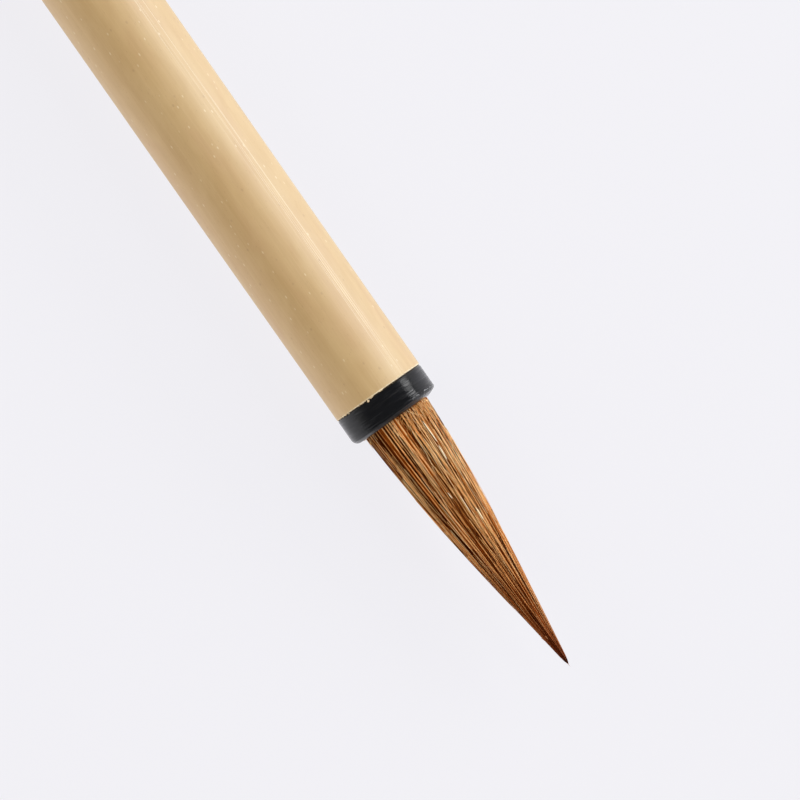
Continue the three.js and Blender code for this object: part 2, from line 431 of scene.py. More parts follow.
def hair(name, dark, middle, light, tip, root_gain=1.0, ior=1.14):
    """Hair whose tone changes from strand to strand and darkens towards the tip.

    The mesh carries three numbers at each point: tone, from 0 dark to 1 pale, along, from 0 at
    the ring to 1 at the tip, and strand, which differs from strand to strand. dark, middle and
    light are the colours at the ring, before root_gain, and tip is their multiplier at the tip.
    """
    s = Shader(name)
    tone = s.attribute("tone")
    along = s.attribute("along")
    strand = s.attribute("strand")
    blotch = s.noise(s.combine(strand, s.math("MULTIPLY", along, 9.0), 0.0), 3.0, 0.6)
    shade = s.math("ADD", tone, s.remap(blotch, 0.3, 0.7, -0.12, 0.12))
    base = s.ramp(shade, [(0.0, dark), (0.50, middle), (0.84, light), (1.0, PALEST_HAIR)])
    near_tip = tuple(0.5 * (1 + c) * w for c, w in zip(tip, NEAR_TIP_SHADE))
    at_ring = (root_gain, root_gain, root_gain)
    darkening = [(0.0, at_ring), (0.45, HALFWAY_SHADE), (0.76, near_tip), (0.93, tip)]
    darkening = s.ramp(along, darkening)
    base = s.mix(1.0, base, darkening, "MULTIPLY")
    fine = s.noise(s.combine(strand, s.math("MULTIPLY", along, 420.0), 0.0), 1.0)
    s.set(Base_Color=base, Roughness=s.remap(blotch, 0.3, 0.7, 0.22, 0.38))
    s.set(Normal=s.bump(fine, 0.004 * MM, 0.4), IOR=ior, Specular_Tint=HAIR_SHEEN)
    return s.material


def twisted_cotton():
    """Unbleached binding thread, with its fibres showing."""
    s = Shader("twisted_cotton")
    fibres = s.noise(s.place((9000, 3000, 3000)), 3.0)
    tone = s.ramp(fibres, [(0.3, (0.52, 0.44, 0.32)), (0.7, (0.78, 0.72, 0.60))])
    s.set(Base_Color=tone, Roughness=s.remap(fibres, 0.3, 0.7, 0.7, 0.9))
    s.set(Normal=s.bump(fibres, 0.03 * MM))
    return s.material


def amber_rosin():
    """Cloudy, glossy amber."""
    s = Shader("amber_rosin")
    cloud = s.noise(s.place((900, 900, 900)), 3.0)
    tone = s.ramp(cloud, [(0.3, (0.14, 0.045, 0.008)), (0.7, (0.34, 0.14, 0.03))])
    s.set(Base_Color=tone, Roughness=s.remap(cloud, 0.3, 0.7, 0.12, 0.3))
    s.set(Normal=s.bump(cloud, 0.05 * MM))
    return s.material


def dried_glue(name, dark, pale):
    """Glossy glue, mottled between two colours."""
    s = Shader(name)
    cloud = s.noise(s.place((3000, 3000, 3000)), 2.0)
    tone = s.ramp(cloud, [(0.3, dark), (0.7, pale)])
    s.set(Base_Color=tone, Roughness=s.remap(cloud, 0.3, 0.7, 0.08, 0.2))
    s.set(Normal=s.bump(cloud, 0.01 * MM))
    return s.material


# ---------------------------------------------------------------- mesh helpers


def new_piece(name, points, faces, materials):
    """A smooth-shaded object made from points and faces."""
    mesh = bpy.data.meshes.new(name)
    mesh.from_pydata([tuple(p) for p in points], [], [tuple(f) for f in faces])
    mesh.update()
    for material in materials:
        mesh.materials.append(material)
    mesh.polygons.foreach_set("use_smooth", [True] * len(mesh.polygons))
    piece = bpy.data.objects.new(name, mesh)
    bpy.context.scene.collection.objects.link(piece)
    return piece


def put_numbers(piece, name, numbers):
    """Stores one number for each point, for the piece's material to read."""
    attribute = piece.data.attributes.new(name, "FLOAT", "POINT")
    attribute.data.foreach_set("value", np.asarray(numbers, np.float32))


def round_place(x, radius, angle):
    """Points at a radius round the brush's axis, with angle 0 on top and growing towards +Y."""
    return np.stack([x, radius * np.sin(angle), AXIS_Z + radius * np.cos(angle)], -1)


def turned(name, outline, sides, materials, offset=None, closed=True, shift=None):
    """Turns an outline of (x, radius) points about the brush's axis.

    The outline runs from back to front on its outer side. A closed outline is a ring's; an open
    one starts and ends on the axis. offset(x, angle, radius) is added to the radius away from
    the axis, and shift(x, angle, radius) to the place along it.
    """
    outline = np.array(outline)
    angle = np.arange(sides) / sides * 2 * math.pi
    x = np.repeat(outline[:, :1], sides, 1)
    radius = np.repeat(outline[:, 1:], sides, 1)
    moved_x = x if shift is None else x + shift(x, angle[None, :], radius)
    if offset is not None:
        radius = np.where(radius > 0, radius + offset(x, angle[None, :], radius), radius)
    points = round_place(moved_x, radius, angle[None, :]).reshape(-1, 3)
    rows = len(outline)
    faces = []
    for row in range(rows if closed else rows - 1):
        below = row * sides
        above = ((row + 1) % rows) * sides
        for i in range(sides):
            j = (i + 1) % sides
            if not closed and row == 0:
                faces.append((0, above + j, above + i))
            elif not closed and row == rows - 2:
                faces.append((below + i, below + j, above))
            else:
                faces.append((below + i, below + j, above + j, above + i))
    piece = new_piece(name, points, faces, materials)
    if not closed:
        drop_loose_points(piece)
    return piece


def drop_loose_points(piece):
    """Removes the points of an axis row that no face uses."""
    used = {v for face in piece.data.polygons for v in face.vertices}
    keep = sorted(used)
    place = {old: new for new, old in enumerate(keep)}
    points = [piece.data.vertices[i].co[:] for i in keep]
    faces = [tuple(place[v] for v in face.vertices) for face in piece.data.polygons]
    materials = list(piece.data.materials)
    slots = [face.material_index for face in piece.data.polygons]
    mesh = bpy.data.meshes.new(piece.name + "_mesh")
    mesh.from_pydata(points, [], faces)
    for material in materials:
        mesh.materials.append(material)
    mesh.polygons.foreach_set("use_smooth", [True] * len(faces))
    mesh.polygons.foreach_set("material_index", slots)
    piece.data = mesh


def waves(seed, count, turns, lengths):
    """A smooth random surface: a sum of waves round the axis and along it, within about 1."""
    rng = np.random.default_rng(seed)
    parts = []
    for _ in range(count):
        parts.append((
            rng.integers(turns[0], turns[1] + 1),
            2 * math.pi / rng.uniform(*lengths),
            rng.uniform(0, 2 * math.pi),
            rng.uniform(0, 2 * math.pi),
        ))

    def height(x, angle):
        total = 0
        for around, wave, a, b in parts:
            total = total + np.cos(around * angle + a) * np.cos(wave * x + b)
        return total / math.sqrt(count)

    return height


def quarter_round(end, side, rounding, facing, steps):
    """(x, radius) points from a straight side to a flat end."""
    turn = np.linspace(0, math.pi / 2, steps)
    x = end - facing * rounding * (1 - np.sin(turn))
    return list(zip(x, side - rounding * (1 - np.cos(turn))))


# ---------------------------------------------------------------- handle

SHARP_DEGREES = 35
# Radii above these belong to the tube's skin, and to the ring's outside and front.
TUBE_WALL = SLEEVE_RADIUS + 0.3 * MM
RING_WALL = SLEEVE_RADIUS + 0.2 * MM
SOCKET_WALL = SOCKET_RADIUS + 0.2 * MM


def add_bamboo_tube():
    """The tube: slightly uneven skin, rounded rims, and a bore wider at the front end."""
    rim = 0.13 * MM
    skin_steps = 240
    unevenness = 0.022 * MM
    facet_size = 0.006 * MM
    undulation = waves(SEED + 1, 5, (1, 3), (30 * MM, 90 * MM))
    facets = waves(SEED + 2, 6, (5, 14), (60 * MM, 200 * MM))

    def offset(x, angle, radius):
        skin = unevenness * (undulation(x, angle) - 1.4) / 1.4 + facet_size * facets(x, angle)
        return np.where(radius > TUBE_WALL, skin, 0)

    def skin_radius(x):
        forward = np.clip((x - (SHAFT_FRONT - FRONT_TAPER)) / FRONT_TAPER, 0, 1)
        return SHAFT_RADIUS + (FRONT_RADIUS - SHAFT_RADIUS) * forward

    x = np.linspace(SHAFT_BACK + rim, SHAFT_FRONT - rim, skin_steps)
    skin = [(at, skin_radius(at)) for at in x]
    back_rim = quarter_round(SHAFT_BACK, SHAFT_RADIUS, rim, -1, 4)[::-1][:-1]
    front_rim = quarter_round(SHAFT_FRONT, FRONT_RADIUS, rim, 1, 4)[1:]
    counterbore = SLEEVE_RADIUS + FIT_GAP
    step = SLEEVE_BACK - FIT_GAP
    inside = [
        (SHAFT_FRONT, counterbore),
        (step, counterbore),
        (step, BORE_RADIUS),
        (SHAFT_BACK, BORE_RADIUS),
    ]
    outline = back_rim + skin + front_rim + inside
    piece = turned("bamboo_tube", outline, 160, [bamboo_skin(), bamboo_cut()], offset)
    for face in piece.data.polygons:
        lengthwise = SHAFT_BACK + rim < face.center.x < SHAFT_FRONT - rim
        outside = math.hypot(face.center.y, face.center.z - AXIS_Z) > TUBE_WALL
        face.material_index = 0 if lengthwise and outside else 1
    sharpen(piece)
    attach(piece, "handle")
    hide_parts("handle_shaft")


def sharpen(piece):
    """Keeps shading smooth across round surfaces and crisp across sharp edges."""
    mesh = piece.data
    limit = math.cos(math.radians(SHARP_DEGREES))
    across = {}
    for face in mesh.polygons:
        for key in face.edge_keys:
            across.setdefault(key, []).append(face.normal)
    sharp = []
    for edge in mesh.edges:
        normals = across.get(edge.key, [])
        sharp.append(len(normals) == 2 and normals[0].dot(normals[1]) < limit)
    attribute = mesh.attributes.new("sharp_edge", "BOOLEAN", "EDGE")
    attribute.data.foreach_set("value", sharp)


def add_ferrule():
    """The black ring with its sleeve and socket, rounded in front and worn on one side."""
    lip = 0.80 * MM
    shoulder = RING_FRONT - lip
    chamfer_length = 0.60 * MM
    chamfer_depth = 1.15 * MM
    drawn_back = 1.4 * MM
    ridge_size, worn_ridge_size = 0.010 * MM, 0.045 * MM
    ridge_width, wear_and_glint_width = 0.05 * MM, 0.09 * MM
    out_of_round_size = 0.006 * MM
    back_edge = 0.08 * MM
    mouth_edge = 0.12 * MM
    worn_middle, worn_spread = 1.35, 1.0
    burr = waves(SEED + 3, 8, (8, 60), (400 * MM, 900 * MM))
    out_of_round = waves(SEED + 4, 4, (2, 4), (400 * MM, 900 * MM))

    def worn(angle):
        """1 where the front edge was cut back to an uneven chamfer, on the +Y side."""
        away = (angle - worn_middle + math.pi) % (2 * math.pi) - math.pi
        return np.exp(-((away / worn_spread) ** 2))

    def roughly(angle):
        """How far the worn edge is broken up, from 0 where it is clean."""
        return np.clip(0.7 + 0.6 * burr(0 * angle, angle), 0.0, 1.7)

    def on_lip(x, radius):
        return (x > shoulder - 0.001 * MM) & (radius > SOCKET_WALL)

    def offset(x, angle, radius):
        near = np.exp(-(((x - shoulder) / ridge_width) ** 2))
        ridge = near * (ridge_size + worn_ridge_size * worn(angle)) * roughly(angle)
        uneven = out_of_round_size * (out_of_round(x, angle) - 1)
        down = (RING_RADIUS - radius) / lip
        chamfer = -(chamfer_depth - lip) * down * worn(angle) * on_lip(x, radius)
        return np.where(radius > RING_WALL, ridge + uneven, 0) + chamfer

    def shift(x, angle, radius):
        down = np.clip((RING_RADIUS - radius) / lip, 0, 1)
        uneven = 1 + 0.10 * burr(0 * angle, angle) * (1 - down)
        rounded = 1 - np.sqrt(1 - (1 - down) ** 2)
        on_chamfer = RING_FRONT - chamfer_length * (1 - down + rounded) / 2 * uneven - x
        behind = np.clip((x - shoulder + drawn_back) / drawn_back, 0, 1)
        smooth = behind * behind * (3 - 2 * behind)
        moved = np.where(on_lip(x, radius), on_chamfer, (lip - chamfer_length * uneven) * smooth)
        return np.where(radius > SOCKET_WALL, moved * worn(angle), 0)

    ring = [(RING_BACK, SLEEVE_RADIUS), (RING_BACK, RING_RADIUS - back_edge)]
    back = np.linspace(RING_BACK + back_edge, shoulder - 0.16 * MM, 16)
    ring += [(x, RING_RADIUS) for x in back]
    ring += [(shoulder - away * MM, RING_RADIUS) for away in (0.12, 0.09, 0.06, 0.03, 0)]
    ring += quarter_round(RING_FRONT, RING_RADIUS, lip, 1, 18)[1:]
    mouth = [(RING_FRONT, SOCKET_RADIUS + mouth_edge), (RING_FRONT - mouth_edge, SOCKET_RADIUS)]
    floor = SLEEVE_BACK + SOCKET_FLOOR
    outline = [(SLEEVE_BACK, 0), (SLEEVE_BACK, SLEEVE_RADIUS), *ring, *mouth]
    outline += [(floor, SOCKET_RADIUS), (floor, 0)]
    sides = 300
    piece = turned("ferrule_body", outline, sides, [black_horn()], offset, False, shift)
    angle = np.arange(sides) / sides * 2 * math.pi
    # A paler grey line at the shoulder on the worn side: rubbed horn, and partly a painted
    # highlight along the crease.
    wear_and_glint = []
    for x, radius in outline:
        if radius > 0:
            edge = math.exp(-((x - shoulder) / wear_and_glint_width) ** 2) * (radius > SLEEVE_RADIUS)
            wear_and_glint.extend(edge * worn(angle) * roughly(angle))
    put_numbers(piece, "wear_and_glint", [0, *wear_and_glint, 0])
    sharpen(piece)
    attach(piece, "handle")
    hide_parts("ferrule")


def add_glue():
    """The glue in the joint behind the ring: a dark film, which also paints the shade in the gap,
    and small beads squeezed out of it, the pale ones partly a painted highlight along the
    bamboo's rim.
    """
    uneven = waves(SEED + 5, 10, (9, 90), (400 * MM, 900 * MM))
    film_unevenness = 0.015 * MM
    edge = 5.27 * MM
    gap_middle = 5 * MM
    near_black, dark_brown = (0.012, 0.007, 0.004), (0.05, 0.03, 0.015)
    honey, cream = (0.62, 0.40, 0.17), (0.95, 0.84, 0.62)
    back, front = SHAFT_FRONT - 0.01 * MM, RING_BACK + 0.01 * MM
    outline = [(back, edge), (front, edge), (front, SLEEVE_RADIUS), (back, SLEEVE_RADIUS)]

    def offset(x, angle, radius):
        return np.where(radius > gap_middle, film_unevenness * uneven(x, angle), 0)

    # A near-black film in the joint: glue, and painted shade in the gap between bamboo and ring.
    material = dried_glue("glue_and_gap_shade_film", near_black, dark_brown)
    film = turned("glue_and_gap_shade_film", outline, 360, [material], offset)
    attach(film, "handle")

    rng = np.random.default_rng(SEED + 6)
    seam = (SHAFT_FRONT + RING_BACK) / 2
    # Degrees round the brush, place along it, and size around it, along it and outwards.
    beads = [
        (-9.5, seam - 0.04 * MM, 0.26 * MM, 0.10 * MM, 0.07 * MM),
        (-15, seam + 0.10 * MM, 0.13 * MM, 0.17 * MM, 0.07 * MM),
    ]
    # Small pale beads along the seam: dried glue, and partly a painted highlight along the
    # bamboo's rim.
    small_glue_and_glint_beads = 64
    for _ in range(small_glue_and_glint_beads):
        size = rng.uniform(0.025, 0.06) * MM
        beads.append((
            rng.uniform(-200, 20),
            seam + rng.normal(-0.04, 0.02) * MM,
            size * rng.uniform(1.0, 3.0),
            size,
            size * 0.7,
        ))
    # The last number is the radius that a bead sits at: in the seam, or at the ring's mouth.
    seam_level, mouth_level = edge + 0.08 * MM, SOCKET_RADIUS + 0.1 * MM
    beads = [(*bead, seam_level) for bead in beads]
    for degrees, size in [(-88, 0.09), (-80, 0.13), (-73, 0.08), (-64, 0.06), (96, 0.08)]:
        size *= MM
        beads.append((degrees, RING_FRONT, 1.4 * size, 0.6 * size, 0.5 * size, mouth_level))
    rows, sides = 7, 12
    points, faces = [], []
    for degrees, x, around, along, out, level in beads:
        first = len(points)
        two_lumps, three_lumps, _ = rng.uniform(0, 2 * math.pi, 3)
        for row in range(rows + 1):
            tilt = math.pi * row / rows
            for i in range(sides if 0 < row < rows else 1):
                turn = 2 * math.pi * i / sides
                lump = 1 + 0.18 * math.sin(2 * turn + two_lumps)
                lump += 0.12 * math.sin(3 * turn + three_lumps)
                aside = around * lump * math.sin(tilt) * math.cos(turn)
                angle = math.radians(degrees) + aside / level
                at = x + along * lump * math.sin(tilt) * math.sin(turn)
                radius = level + out * math.cos(tilt)
                points.append(round_place(np.float64(at), radius, np.float64(angle)))
        last = len(points) - 1

        def spot(row, i):
            """The point at a corner of the bead, whose first and last rows are one point each."""
            if row == 0:
                return first
            if row == rows:
                return last
            return first + 1 + (row - 1) * sides + i % sides

        for row in range(rows):
            for i in range(sides):
                corners = [spot(row, i), spot(row, i + 1), spot(row + 1, i + 1), spot(row + 1, i)]
                faces.append(list(dict.fromkeys(corners)))
    drops = new_piece("glue_and_glint_beads", points, faces, [dried_glue("glue_and_glint_beads", honey, cream)])
    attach(drops, "handle")


def add_tail_cap():
    """The black plug in the tail of the tube, with the blind hole for a hanging loop."""
    rounding = 0.9 * MM
    hole_edge, seat_edge, spigot_edge = 0.15 * MM, 0.1 * MM, 0.3 * MM
    back = cap_low.x
    seat = back + CAP_HEIGHT
    outline = [(back + LOOP_HOLE_DEPTH, 0), (back + LOOP_HOLE_DEPTH, LOOP_HOLE_RADIUS)]
    outline += [(back + hole_edge, LOOP_HOLE_RADIUS), (back, LOOP_HOLE_RADIUS + hole_edge)]
    outline += quarter_round(back, CAP_RADIUS, rounding, -1, 14)[::-1]
    outline += [(x, CAP_RADIUS) for x in np.linspace(back + rounding, seat - seat_edge, 8)[1:]]
    outline += [(seat, CAP_RADIUS - seat_edge), (seat, SPIGOT_RADIUS)]
    outline += [(cap_high.x - spigot_edge, SPIGOT_RADIUS)]
    outline += [(cap_high.x, SPIGOT_RADIUS - spigot_edge), (cap_high.x, 0)]
    piece = turned("tail_cap_body", outline, 160, [black_horn()], closed=False)
    sharpen(piece)
    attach(piece, "handle")
    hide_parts("tail_cap")


# ---------------------------------------------------------------- hair

# Painted light: how much later the side towards +Y, where the key light falls, darkens, as a
# share of the way to the tip.
LIT_SIDE_LATE_DARKENING = 0.14
# Keeps the noise of one strand apart from the next strand's.
STRAND_SPACING = 7.31
# Tones, from 0 dark to 1 pale, and how evenly dark and middle brown are spread.
DARK_TONE, BROWN_TONE, PALE_TONE = 0.02, 0.38, 0.92
DARK_SHARE = 0.5


def envelope(x):
    """Radius of the tuft's outside, from the root in the socket to the tip."""
    x = np.asarray(x, float)
    along = np.clip((TIP - x) / TUFT_LENGTH, 0, 1)
    cone = (1 + CONE_BULGE) * along - CONE_BULGE * along**CONE_POWER
    point = POINT_WIDTH * (1 - np.exp(-along / POINT_REACH)) * (1 - along)
    radius = TUFT_RADIUS * (cone + point)
    middle = (thread_low.x + thread_high.x) / 2
    pinch = np.clip(1.6 - np.abs(x - middle) / (thread_high.x - thread_low.x), 0, 1)
    return radius - np.where(x < RING_FRONT, PINCH_DEPTH * pinch, 0)


def along_of(x):
    """0 at the ring and 1 at the tip."""
    return np.clip((x - RING_FRONT) / TUFT_LENGTH, 0, 1)


# Where a strand has points inside the socket, so that it follows the thread's pinch.
SOCKET_PLACES = np.array([
    HAIR_BACK,
    thread_low.x - 0.5 * MM,
    thread_low.x,
    thread_high.x,
    thread_high.x + 0.5 * MM,
    RING_FRONT - 1.5 * MM,
])


def per_point(values, sides):
    """Numbers for each place on each strand, repeated for the tube's points there."""
    return np.concatenate([np.repeat(values[:, :-1], sides, 1), values[:, -1:]], 1).reshape(-1)


def strand_tubes(name, centres, radii, tones, sides, material):
    """One closed tapered tube for each strand.

    centres is strands x places x 3, radii is strands x places, and there is a tone for each
    strand or for each of its places. Each tube ends in a point.
    """
    count, places, _ = centres.shape
    outward = centres - np.array([0, 0, AXIS_Z])
    outward[..., 0] = 0
    outward /= np.maximum(np.linalg.norm(outward, axis=-1, keepdims=True), 1e-9)
    sideways = np.cross(np.array([1.0, 0, 0]), outward)
    turn = np.arange(sides) / sides * 2 * math.pi
    ring = (
        outward[:, :, None, :] * np.cos(turn)[None, None, :, None]
        + sideways[:, :, None, :] * np.sin(turn)[None, None, :, None]
    )
    rings = centres[:, :-1, None, :] + ring[:, :-1] * radii[:, :-1, None, None]
    per_strand = (places - 1) * sides + 1
    points = np.concatenate([rings.reshape(count, -1, 3), centres[:, -1:, :]], 1).reshape(-1, 3)

    side = np.arange(sides)
    following = (side + 1) % sides
    quads = []
    for row in range(places - 2):
        low, high = row * sides, (row + 1) * sides
        quads.append(np.stack([low + side, low + following, high + following, high + side], -1))
    quads = np.concatenate(quads)
    last = (places - 2) * sides
    cone = np.stack([last + side, last + following, np.full(sides, per_strand - 1)], -1)
    end = side[::-1].copy()
    starts = np.arange(count) * per_strand

    vertices = []
    sizes = []
    for block in (quads, cone, end[None, :]):
        every = (starts[:, None, None] + block[None]).reshape(-1, block.shape[-1])
        vertices.append(every.reshape(-1))
        sizes.append(np.full(len(every), block.shape[-1]))
    corners = np.concatenate(vertices)
    sizes = np.concatenate(sizes)

    mesh = bpy.data.meshes.new(name)
    mesh.vertices.add(len(points))
    mesh.vertices.foreach_set("co", points.astype(np.float32).reshape(-1))
    mesh.loops.add(len(corners))
    mesh.loops.foreach_set("vertex_index", corners.astype(np.int32))
    mesh.polygons.add(len(sizes))
    starts_of_faces = np.concatenate([[0], np.cumsum(sizes)[:-1]])
    mesh.polygons.foreach_set("loop_start", starts_of_faces.astype(np.int32))
    mesh.polygons.foreach_set("use_smooth", [True] * len(sizes))
    mesh.update(calc_edges=True)
    mesh.validate()
    mesh.materials.append(material)
    piece = bpy.data.objects.new(name, mesh)
    bpy.context.scene.collection.objects.link(piece)

    # Painted light: the side towards +Y, where the key light falls, keeps its paler colour
    # further along.
    painted_light_side = per_point(np.clip(outward[..., 1], 0, 1), sides)
    along = along_of(per_point(centres[..., 0], sides))
    put_numbers(piece, "along", along * (1 - LIT_SIDE_LATE_DARKENING * painted_light_side))
    tones = np.broadcast_to(np.asarray(tones).reshape(count, -1), (count, places))
    put_numbers(piece, "tone", per_point(tones, sides))
    put_numbers(piece, "strand", np.repeat(np.arange(count) * STRAND_SPACING, per_strand))
    return piece


def bend_with_tuft(piece, *nodes):
    """Fixes the piece in the row frame and hides the imported nodes that it stands in for."""
    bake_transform(piece)
    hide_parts(*nodes)


def grown_strands(rng, count, depth, clumps, thickness, reach, places):
    """Centres, radii and tones of one layer of long hair.

    depth is the layer's lowest and highest place as shares of the tuft's radius, reach is where
    the hairs end as distances from the tip, and clumps is the number of locks they draw into.
    There are places points along the free length of each strand.
    """
    lock_unevenness = 0.13
    draw_in = 0.72
    taper_length = 11 * MM
    end_thickness = 0.22
    angle = (np.arange(count) + rng.uniform(-0.5, 0.5, count)) / count * 2 * math.pi
    lock_angle = (np.arange(clumps) + rng.uniform(-0.45, 0.45, clumps)) / clumps * 2 * math.pi
    apart = (lock_angle[None, :] - angle[:, None] + math.pi) % (2 * math.pi) - math.pi
    lock = np.abs(apart).argmin(1)
    pull = apart[np.arange(count), lock]
    lock_depth = rng.uniform(0, 1, clumps)
    lock_tone = rng.normal(0, lock_unevenness, clumps)

    from_tip = reach[0] + (reach[1] - reach[0]) * rng.uniform(0, 1, count) ** 2.2
    start = np.tile(SOCKET_PLACES, (count, 1))
    share = np.linspace(0, 1, places)
    share = share + 0.12 * np.sin(math.pi * share) * share
    share /= share[-1]
    free = RING_FRONT + (TIP - from_tip - RING_FRONT)[:, None] * share[None, :]
    x = np.concatenate([start, free], 1)

    forward = along_of(x)
    gather = draw_in * forward**0.7 * rng.uniform(0.75, 1.15, count)[:, None]
    wander = rng.normal(0, 0.05, count)[:, None] * np.sin(
        forward * rng.uniform(2, 6, count)[:, None] + rng.uniform(0, 6, count)[:, None]
    )
    turn = angle[:, None] + pull[:, None] * gather + wander * (0.3 + forward)
    height = rng.uniform(0, 1, count) * 0.55 + lock_depth[lock] * 0.45
    level = depth[0] + (depth[1] - depth[0]) * height
    radii = thickness * rng.uniform(0.75, 1.25, count)[:, None]
    taper = np.clip((TIP - from_tip[:, None] - x) / taper_length, 0, 1) ** 0.6
    radii = radii * (end_thickness + (1 - end_thickness) * taper) * np.ones_like(x)
    radius = np.maximum(envelope(x) * level[:, None] - radii, 0.01 * MM)
    centres = round_place(x, radius, turn)
    # Towards the tip, where the hairs crowd together, more neighbours share a tone.
    single = runs_of_tones(rng, count, (3, 8), (1, 4)) + 0.6 * lock_tone[lock]
    crowd = runs_of_tones(rng, count, (7, 19), (3, 9))
    crowding = np.clip(1.4 * forward - 0.3, 0, 0.85)
    tones = single[:, None] * (1 - crowding) + crowd[:, None] * crowding
    tones = tones + rng.normal(0, 0.08, count)[:, None]
    # Painted light and shade: paler on the side towards +Y, where the key light falls, and more
    # so towards the tip, where strands facing straight up or down are painted darker.
    side = np.sin(angle)[:, None]
    painted_light = np.interp(side, [-1, -0.1, 0.25, 0.6, 1], [-0.04, -0.06, -0.04, 0.11, 0.13])
    painted_light = painted_light + forward * np.interp(side, [-0.5, 0, 0.4], [0.02, -0.17, 0.16])
    return centres, radii, np.clip(tones + painted_light, 0.01, 0.98)


def runs_of_tones(rng, count, brown, pale):
    """Tones of neighbouring strands: a run of dark or middle ones, then a run of pale ones."""
    tones = []
    while len(tones) < count:
        tone = rng.choice([DARK_TONE, BROWN_TONE], p=[DARK_SHARE, 1 - DARK_SHARE])
        tones += [tone] * rng.integers(*brown)
        tones += [PALE_TONE] * rng.integers(*pale)
    return np.array(tones[:count])


def hair_mass(name, inner, outer, back, front, material, seed, ridges):
    """A closed body of packed hair, with fine ridges along it.

    inner and outer give its radii at a place along the brush. inner may be None where the body is
    solid to the axis.
    """
    sides = 220
    step_length = 0.6 * MM
    steps = max(int((front - back) / step_length), 8)
    x = np.linspace(back, front, steps)
    grooves = waves(seed, 14, (30, 110), (60 * MM, 300 * MM))

    def offset(at, angle, radius):
        size = np.minimum(ridges, 0.06 * radius)
        return size * (grooves(at, angle) - 1.2) * 0.5

    outline = [(at, float(outer(at))) for at in x]
    if inner is None:
        outline = [(back, 0), *outline, (front, 0)]
    else:
        outline = outline + [(at, float(inner(at))) for at in x[::-1]]
    piece = turned(name, outline, sides, [material], offset, closed=inner is not None)
    co = np.zeros(len(piece.data.vertices) * 3)
    piece.data.vertices.foreach_get("co", co)
    co = co.reshape(-1, 3)
    angle = np.arctan2(co[:, 1], co[:, 2] - AXIS_Z)
    put_numbers(piece, "along", along_of(co[:, 0]))
    # Paler on the ridges and darker in the grooves between them: painted shade in the grooves.
    tones = np.clip(0.3 + 0.12 * grooves(co[:, 0], angle), 0, 1)
    put_numbers(piece, "tone", tones)
    put_numbers(piece, "strand", 371 * tones)
    return piece


def cover_bore(x):
    """Radius of the hollow in the cover hair, which the core and padding fill."""
    return envelope(x) * (1 - COVER_SHARE)


def add_cover_hair():
    """Two layers of separate strands over a closed backing of packed hair. The middle layer and
    the backing are painted darker than the outer strands, as the shade beneath them.
    """
    colours = {
        "dark": (0.070, 0.010, 0.0005),
        "middle": (0.50, 0.118, 0.010),
        "light": (1.0, 0.54, 0.20),
        "tip": (0.27, 0.14, 0.14),
    }
    # The middle layer is a copy of the outer hair painted darker, as the shade between the outer
    # strands.
    painted_shade_colours = {**colours, "middle": (0.22, 0.058, 0.006)}
    outer = hair("cover_hair_outer", **colours, root_gain=1.15)
    under = hair("cover_hair_under", **painted_shade_colours, root_gain=0.85, ior=1.15)
    rng = np.random.default_rng(SEED + 20)

    centres, radii, tones = grown_strands(
        rng, count=470, depth=(0.955, 1.0), clumps=56, thickness=0.048 * MM,
        reach=(0.0 * MM, 13 * MM), places=22,
    )
    piece = strand_tubes("cover_hair_outer", centres, radii, tones, 4, outer)
    bend_with_tuft(piece, "cover_hair_root", "cover_hair_tip")

    centres, radii, tones = grown_strands(
        rng, count=800, depth=(0.89, 0.95), clumps=50, thickness=0.055 * MM,
        reach=(0.1 * MM, 12 * MM), places=16,
    )
    # Its tones are scaled down as well: more painted shade.
    shade = 0.48
    piece = strand_tubes("cover_hair_middle", centres, radii, tones * shade, 3, under)
    bend_with_tuft(piece, "cover_hair_root", "cover_hair_tip")

    # The backing's dark browns are painted shade beneath the strands.
    backing = hair(
        "cover_hair_backing", dark=(0.03, 0.009, 0.003), middle=(0.10, 0.035, 0.012),
        light=(0.2, 0.09, 0.03), tip=(0.5, 0.3, 0.26), root_gain=0.7, ior=1.15,
    )
    piece = hair_mass("cover_hair_backing", cover_bore, lambda x: envelope(x) * 0.915,
                      HAIR_BACK, TIP - 3.2 * MM, backing, SEED + 21, ridges=0.05 * MM)
    bend_with_tuft(piece, "cover_hair_root", "cover_hair_tip")


